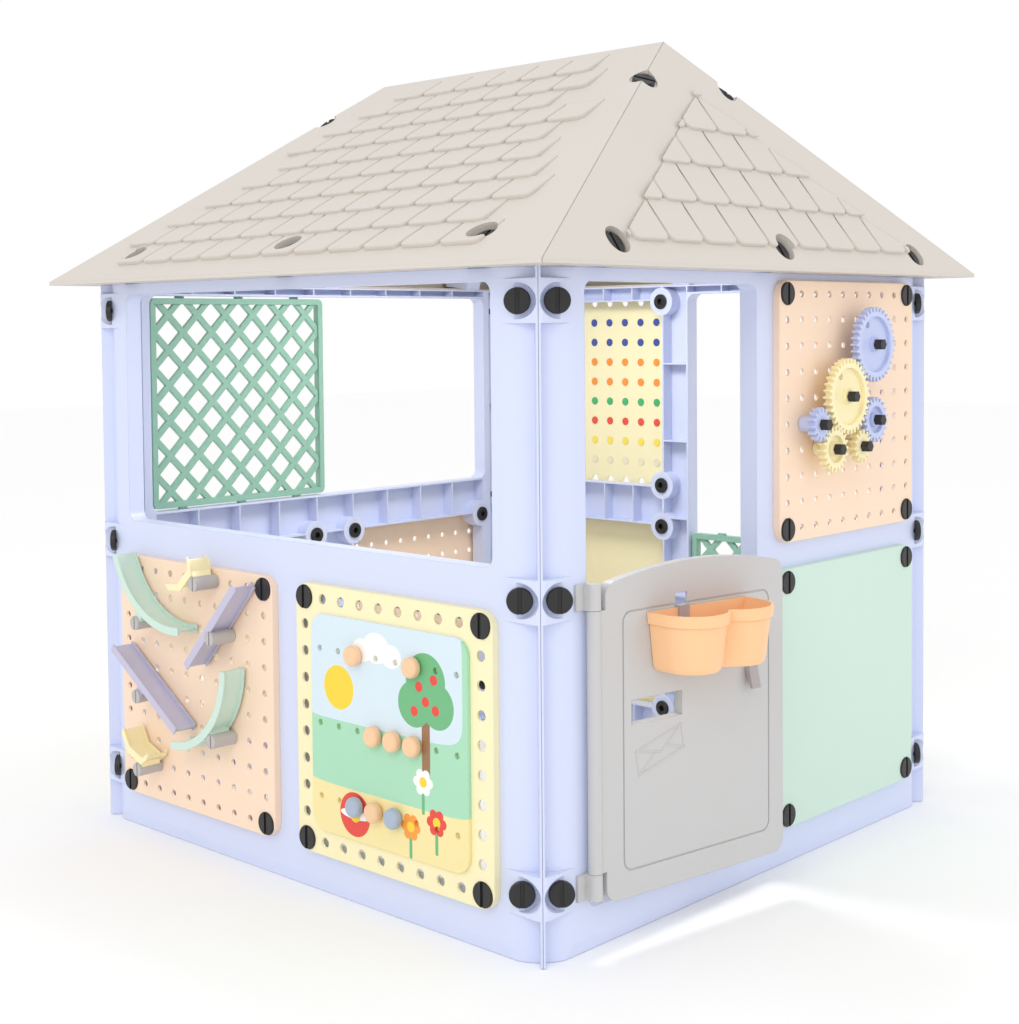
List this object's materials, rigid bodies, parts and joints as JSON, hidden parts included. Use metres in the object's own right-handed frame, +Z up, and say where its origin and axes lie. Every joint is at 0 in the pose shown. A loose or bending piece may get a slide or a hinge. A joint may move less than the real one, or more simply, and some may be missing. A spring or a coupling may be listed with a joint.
{
  "type": "plastic playhouse",
  "caption": "Plastic playhouse with hip roof, half door, windows, lattices and activity boards with gears, tilting ball ramps, beads and pegs.",
  "frame": {"origin": "on the floor, at the centre of the four walls", "axes": "+Z up; -Y out of the wall with the half door; -X out of the wall with the picture and the ramps"},
  "size_m": [1.152, 1.2325, 1.3119],
  "materials": {
    "frame_plastic": "satin moulded plastic",
    "roof_plastic": "satin moulded plastic",
    "black_plastic": "satin moulded plastic",
    "peach_plastic": "satin moulded plastic",
    "yellow_plastic": "satin moulded plastic",
    "mint_plastic": "satin moulded plastic",
    "sage_plastic": "satin moulded plastic",
    "door_plastic": "satin moulded plastic",
    "grey_plastic": "satin moulded plastic",
    "apricot_plastic": "satin moulded plastic",
    "cream_plastic": "satin moulded plastic",
    "blue_plastic": "satin moulded plastic",
    "mauve_plastic": "satin moulded plastic",
    "picture_print": "satin moulded plastic",
    "bead_blue": "satin moulded plastic",
    "bead_peach": "satin moulded plastic",
    "mosaic_plastic": "satin moulded plastic"
  },
  "bodies": {
    "cabin": {"wall_front": "frame_plastic", "wall_right": "frame_plastic", "wall_back": "frame_plastic", "wall_left": "frame_plastic", "roof_front": "roof_plastic", "roof_right": "roof_plastic", "roof_back": "roof_plastic", "roof_left": "roof_plastic", "board_gears": "peach_plastic", "board_mint": "mint_plastic", "board_mosaic": "yellow_plastic", "board_yellow_plain": "yellow_plastic", "board_yellow_back": "yellow_plastic", "board_peach_back": "peach_plastic", "board_picture": "yellow_plastic", "board_ramps": "peach_plastic", "lattice_window": "sage_plastic", "lattice_door": "sage_plastic", "corner_screws": "black_plastic", "corner_brackets": "frame_plastic", "board_screws": "black_plastic", "board_nuts": "black_plastic", "roof_screws": "black_plastic", "hip_brackets": "frame_plastic", "door_hinges": "grey_plastic", "hinge_pins": "grey_plastic", "gear_axles": "black_plastic", "picture_sheet": "picture_print", "mosaic_pegs": "mosaic_plastic"},
    "door": {"door_panel": "door_plastic", "door_handle": "grey_plastic"},
    "planter_box": {"planter": "apricot_plastic", "planter_hook": "grey_plastic"},
    "gear_big_yellow_body": {"gear_big_yellow": "cream_plastic"},
    "gear_big_blue_body": {"gear_big_blue": "blue_plastic"},
    "gear_middle_yellow_body": {"gear_middle_yellow": "cream_plastic"},
    "gear_middle_blue_body": {"gear_middle_blue": "blue_plastic"},
    "gear_small_blue_body": {"gear_small_blue": "blue_plastic"},
    "gear_small_yellow_body": {"gear_small_yellow": "cream_plastic"},
    "tilting_mint_long": {"ramp_mint_long": "mint_plastic", "barrel_mint_long": "grey_plastic"},
    "tilting_cup_high": {"cup_high": "cream_plastic", "barrel_cup_high": "grey_plastic"},
    "tilting_mauve_high": {"ramp_mauve_high": "mauve_plastic", "barrel_mauve_high": "grey_plastic"},
    "tilting_mauve_low": {"ramp_mauve_low": "mauve_plastic", "barrel_mauve_low": "grey_plastic"},
    "tilting_mint_short": {"ramp_mint_short": "mint_plastic", "barrel_mint_short": "grey_plastic"},
    "tilting_cup_low": {"cup_low": "cream_plastic", "barrel_cup_low": "grey_plastic"},
    "bead_blue_left_body": {"bead_blue_left": "bead_blue"},
    "bead_peach_low_body": {"bead_peach_low": "bead_peach"},
    "bead_blue_right_body": {"bead_blue_right": "bead_blue"},
    "bead_middle_left_body": {"bead_middle_left": "bead_peach"},
    "bead_middle_body": {"bead_middle": "bead_peach"},
    "bead_middle_right_body": {"bead_middle_right": "bead_peach"},
    "bead_top_left_body": {"bead_top_left": "bead_peach"},
    "bead_top_right_body": {"bead_top_right": "bead_peach"}
  },
  "joints": [
    {"name": "door_hinge", "type": "hinge", "parent": "cabin", "child": "door", "pos_m": [-0.424, -0.53, 0.29], "axis": [0, 0, 1], "range_deg": [-100, 8]},
    {"name": "planter_lift", "type": "slide", "parent": "door", "child": "planter_box", "axis": [0, 0, 1], "range_m": [0, 0.012]},
    {"name": "gear_big_yellow_spin", "type": "hinge", "parent": "cabin", "child": "gear_big_yellow_body", "pos_m": [0.173, -0.56, 0.74], "axis": [0, -1, 0], "continuous": true},
    {"name": "gear_big_blue_spin", "type": "hinge", "parent": "cabin", "child": "gear_big_blue_body", "pos_m": [0.255, -0.56, 0.822], "axis": [0, -1, 0], "continuous": true},
    {"name": "gear_middle_yellow_spin", "type": "hinge", "parent": "cabin", "child": "gear_middle_yellow_body", "pos_m": [0.132, -0.56, 0.658], "axis": [0, -1, 0], "continuous": true},
    {"name": "gear_middle_blue_spin", "type": "hinge", "parent": "cabin", "child": "gear_middle_blue_body", "pos_m": [0.255, -0.56, 0.699], "axis": [0, -1, 0], "continuous": true},
    {"name": "gear_small_blue_spin", "type": "hinge", "parent": "cabin", "child": "gear_small_blue_body", "pos_m": [0.091, -0.56, 0.699], "axis": [0, -1, 0], "continuous": true},
    {"name": "gear_small_yellow_spin", "type": "hinge", "parent": "cabin", "child": "gear_small_yellow_body", "pos_m": [0.214, -0.56, 0.658], "axis": [0, -1, 0], "continuous": true},
    {"name": "mint_long_tilt", "type": "hinge", "parent": "cabin", "child": "tilting_mint_long", "pos_m": [-0.55, 0.337, 0.37], "axis": [1, 0, 0], "range_deg": [-28, 29]},
    {"name": "cup_high_tilt", "type": "hinge", "parent": "cabin", "child": "tilting_cup_high", "pos_m": [-0.55, 0.173, 0.452], "axis": [1, 0, 0], "range_deg": [-29, 29]},
    {"name": "mauve_high_tilt", "type": "hinge", "parent": "cabin", "child": "tilting_mauve_high", "pos_m": [-0.55, 0.132, 0.37], "axis": [1, 0, 0], "range_deg": [-21, 29]},
    {"name": "mauve_low_tilt", "type": "hinge", "parent": "cabin", "child": "tilting_mauve_low", "pos_m": [-0.55, 0.337, 0.247], "axis": [1, 0, 0], "range_deg": [-29, 2]},
    {"name": "mint_short_tilt", "type": "hinge", "parent": "cabin", "child": "tilting_mint_short", "pos_m": [-0.55, 0.132, 0.206], "axis": [1, 0, 0], "range_deg": [-22, 2]},
    {"name": "cup_low_tilt", "type": "hinge", "parent": "cabin", "child": "tilting_cup_low", "pos_m": [-0.55, 0.337, 0.124], "axis": [1, 0, 0], "range_deg": [-29, 29]},
    {"name": "bead_blue_left_pull", "type": "slide", "parent": "cabin", "child": "bead_blue_left_body", "axis": [-1, 0, 0], "range_m": [0, 0.02]},
    {"name": "bead_peach_low_pull", "type": "slide", "parent": "cabin", "child": "bead_peach_low_body", "axis": [-1, 0, 0], "range_m": [0, 0.02]},
    {"name": "bead_blue_right_pull", "type": "slide", "parent": "cabin", "child": "bead_blue_right_body", "axis": [-1, 0, 0], "range_m": [0, 0.02]},
    {"name": "bead_middle_left_pull", "type": "slide", "parent": "cabin", "child": "bead_middle_left_body", "axis": [-1, 0, 0], "range_m": [0, 0.02]},
    {"name": "bead_middle_pull", "type": "slide", "parent": "cabin", "child": "bead_middle_body", "axis": [-1, 0, 0], "range_m": [0, 0.02]},
    {"name": "bead_middle_right_pull", "type": "slide", "parent": "cabin", "child": "bead_middle_right_body", "axis": [-1, 0, 0], "range_m": [0, 0.02]},
    {"name": "bead_top_left_pull", "type": "slide", "parent": "cabin", "child": "bead_top_left_body", "axis": [-1, 0, 0], "range_m": [0, 0.02]},
    {"name": "bead_top_right_pull", "type": "slide", "parent": "cabin", "child": "bead_top_right_body", "axis": [-1, 0, 0], "range_m": [0, 0.02]}
  ],
  "couplings": [
    {"joint": "gear_big_blue_spin", "follows": "gear_big_yellow_spin", "ratio": -1},
    {"joint": "gear_middle_yellow_spin", "follows": "gear_big_yellow_spin", "ratio": -1.7},
    {"joint": "gear_middle_blue_spin", "follows": "gear_big_yellow_spin", "ratio": -1.7},
    {"joint": "gear_small_blue_spin", "follows": "gear_big_yellow_spin", "ratio": 2.4286},
    {"joint": "gear_small_yellow_spin", "follows": "gear_big_yellow_spin", "ratio": 2.4286}
  ]
}
